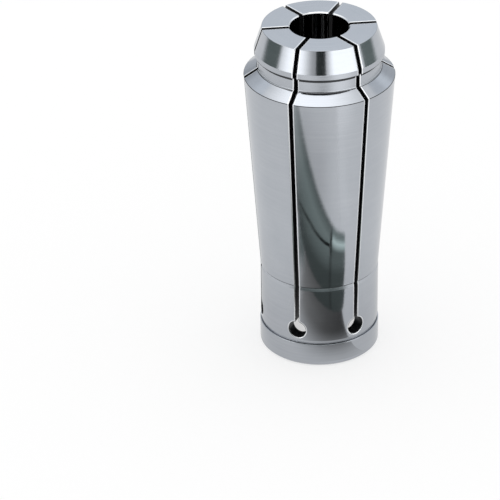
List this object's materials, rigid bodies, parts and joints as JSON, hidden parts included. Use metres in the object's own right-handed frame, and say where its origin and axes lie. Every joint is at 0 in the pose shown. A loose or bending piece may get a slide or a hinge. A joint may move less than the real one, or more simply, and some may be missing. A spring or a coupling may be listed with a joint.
{
  "type": "precision collet",
  "caption": "Slotted spring collet with a long ground taper, nose cone, neck groove and guide ring; its fingers close on a round tool shank in the bore.",
  "frame": {"origin": "centre of the rear face, in the plane that the collet stands on", "axes": "+Z along the axis from the rear face to the nose, +X through the first slot, +Y square to both"},
  "size_m": [0.0204, 0.0204, 0.0487],
  "materials": {
    "ground_steel": "hardened steel, finely turned and ground"
  },
  "bodies": {
    "root": {"collet": "ground_steel"}
  },
  "joints": []
}
